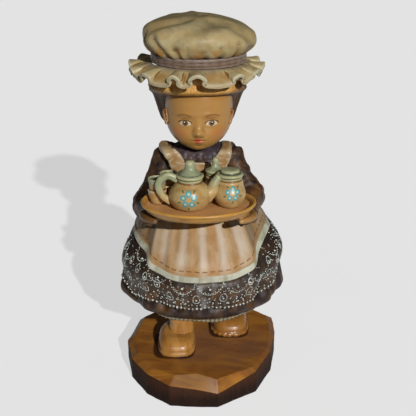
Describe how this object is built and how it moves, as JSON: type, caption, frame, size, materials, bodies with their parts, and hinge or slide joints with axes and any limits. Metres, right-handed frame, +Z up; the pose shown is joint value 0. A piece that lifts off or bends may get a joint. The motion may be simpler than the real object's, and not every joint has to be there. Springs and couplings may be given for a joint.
{
  "type": "carved child figurine",
  "caption": "Painted wood carving of a small child in a mob cap and pinafore who walks on a chiselled plinth and carries a tray with a tea set.",
  "frame": {"origin": "centre of the plinth's flat underside", "axes": "+Z up, the child faces -Y, and its right arm is on the -X side"},
  "size_m": [0.0665, 0.0842, 0.1491],
  "materials": {
    "stained_plinth": "walnut-brown stain with satin lacquer",
    "honey_wood": "honey stain with satin lacquer",
    "peg_wood": "bare beech dowel",
    "dress_paint": "dark brown glaze with pale brushed highlights",
    "petticoat_paint": "cream glaze",
    "apron_paint": "cream glaze with ochre stain in the folds",
    "lace_paint": "dark brown glaze with painted pale dots",
    "skin_paint": "tan glaze, satin",
    "hair_paint": "golden brown glaze",
    "cap_paint": "ivory glaze with ochre stain in the gathers",
    "ribbon_paint": "purple-brown glaze",
    "crockery_paint": "cream glaze with painted flowers, satin",
    "green_lid_paint": "sage green glaze, satin"
  },
  "bodies": {
    "root": {"plinth": "stained_plinth", "right_shoe": "honey_wood", "left_shoe": "honey_wood", "right_leg": "honey_wood", "left_leg": "honey_wood", "tray": "honey_wood", "right_foot_peg": "peg_wood", "left_foot_peg": "peg_wood", "skirt": "dress_paint", "bodice": "dress_paint", "right_upper_sleeve": "dress_paint", "left_upper_sleeve": "dress_paint", "right_lower_sleeve": "dress_paint", "left_lower_sleeve": "dress_paint", "petticoat": "petticoat_paint", "apron_panel": "apron_paint", "waistband": "apron_paint", "apron_bib": "apron_paint", "right_strap": "apron_paint", "left_strap": "apron_paint", "apron_bow": "apron_paint", "lace_flounce": "lace_paint", "head": "skin_paint", "neck": "skin_paint", "right_hand": "skin_paint", "left_hand": "skin_paint", "hair": "hair_paint", "cap_crown": "cap_paint", "cap_ruffle": "cap_paint", "cap_band": "ribbon_paint", "teapot_body": "crockery_paint", "teapot_handle": "crockery_paint", "teapot_spout": "crockery_paint", "sugar_bowl": "crockery_paint", "milk_pot": "crockery_paint", "cup_pair_1": "crockery_paint", "cup_pair_2": "crockery_paint", "cup_pair_3": "crockery_paint", "teapot_lid": "green_lid_paint", "sugar_bowl_lid": "green_lid_paint", "milk_pot_lid": "green_lid_paint"}
  },
  "joints": []
}
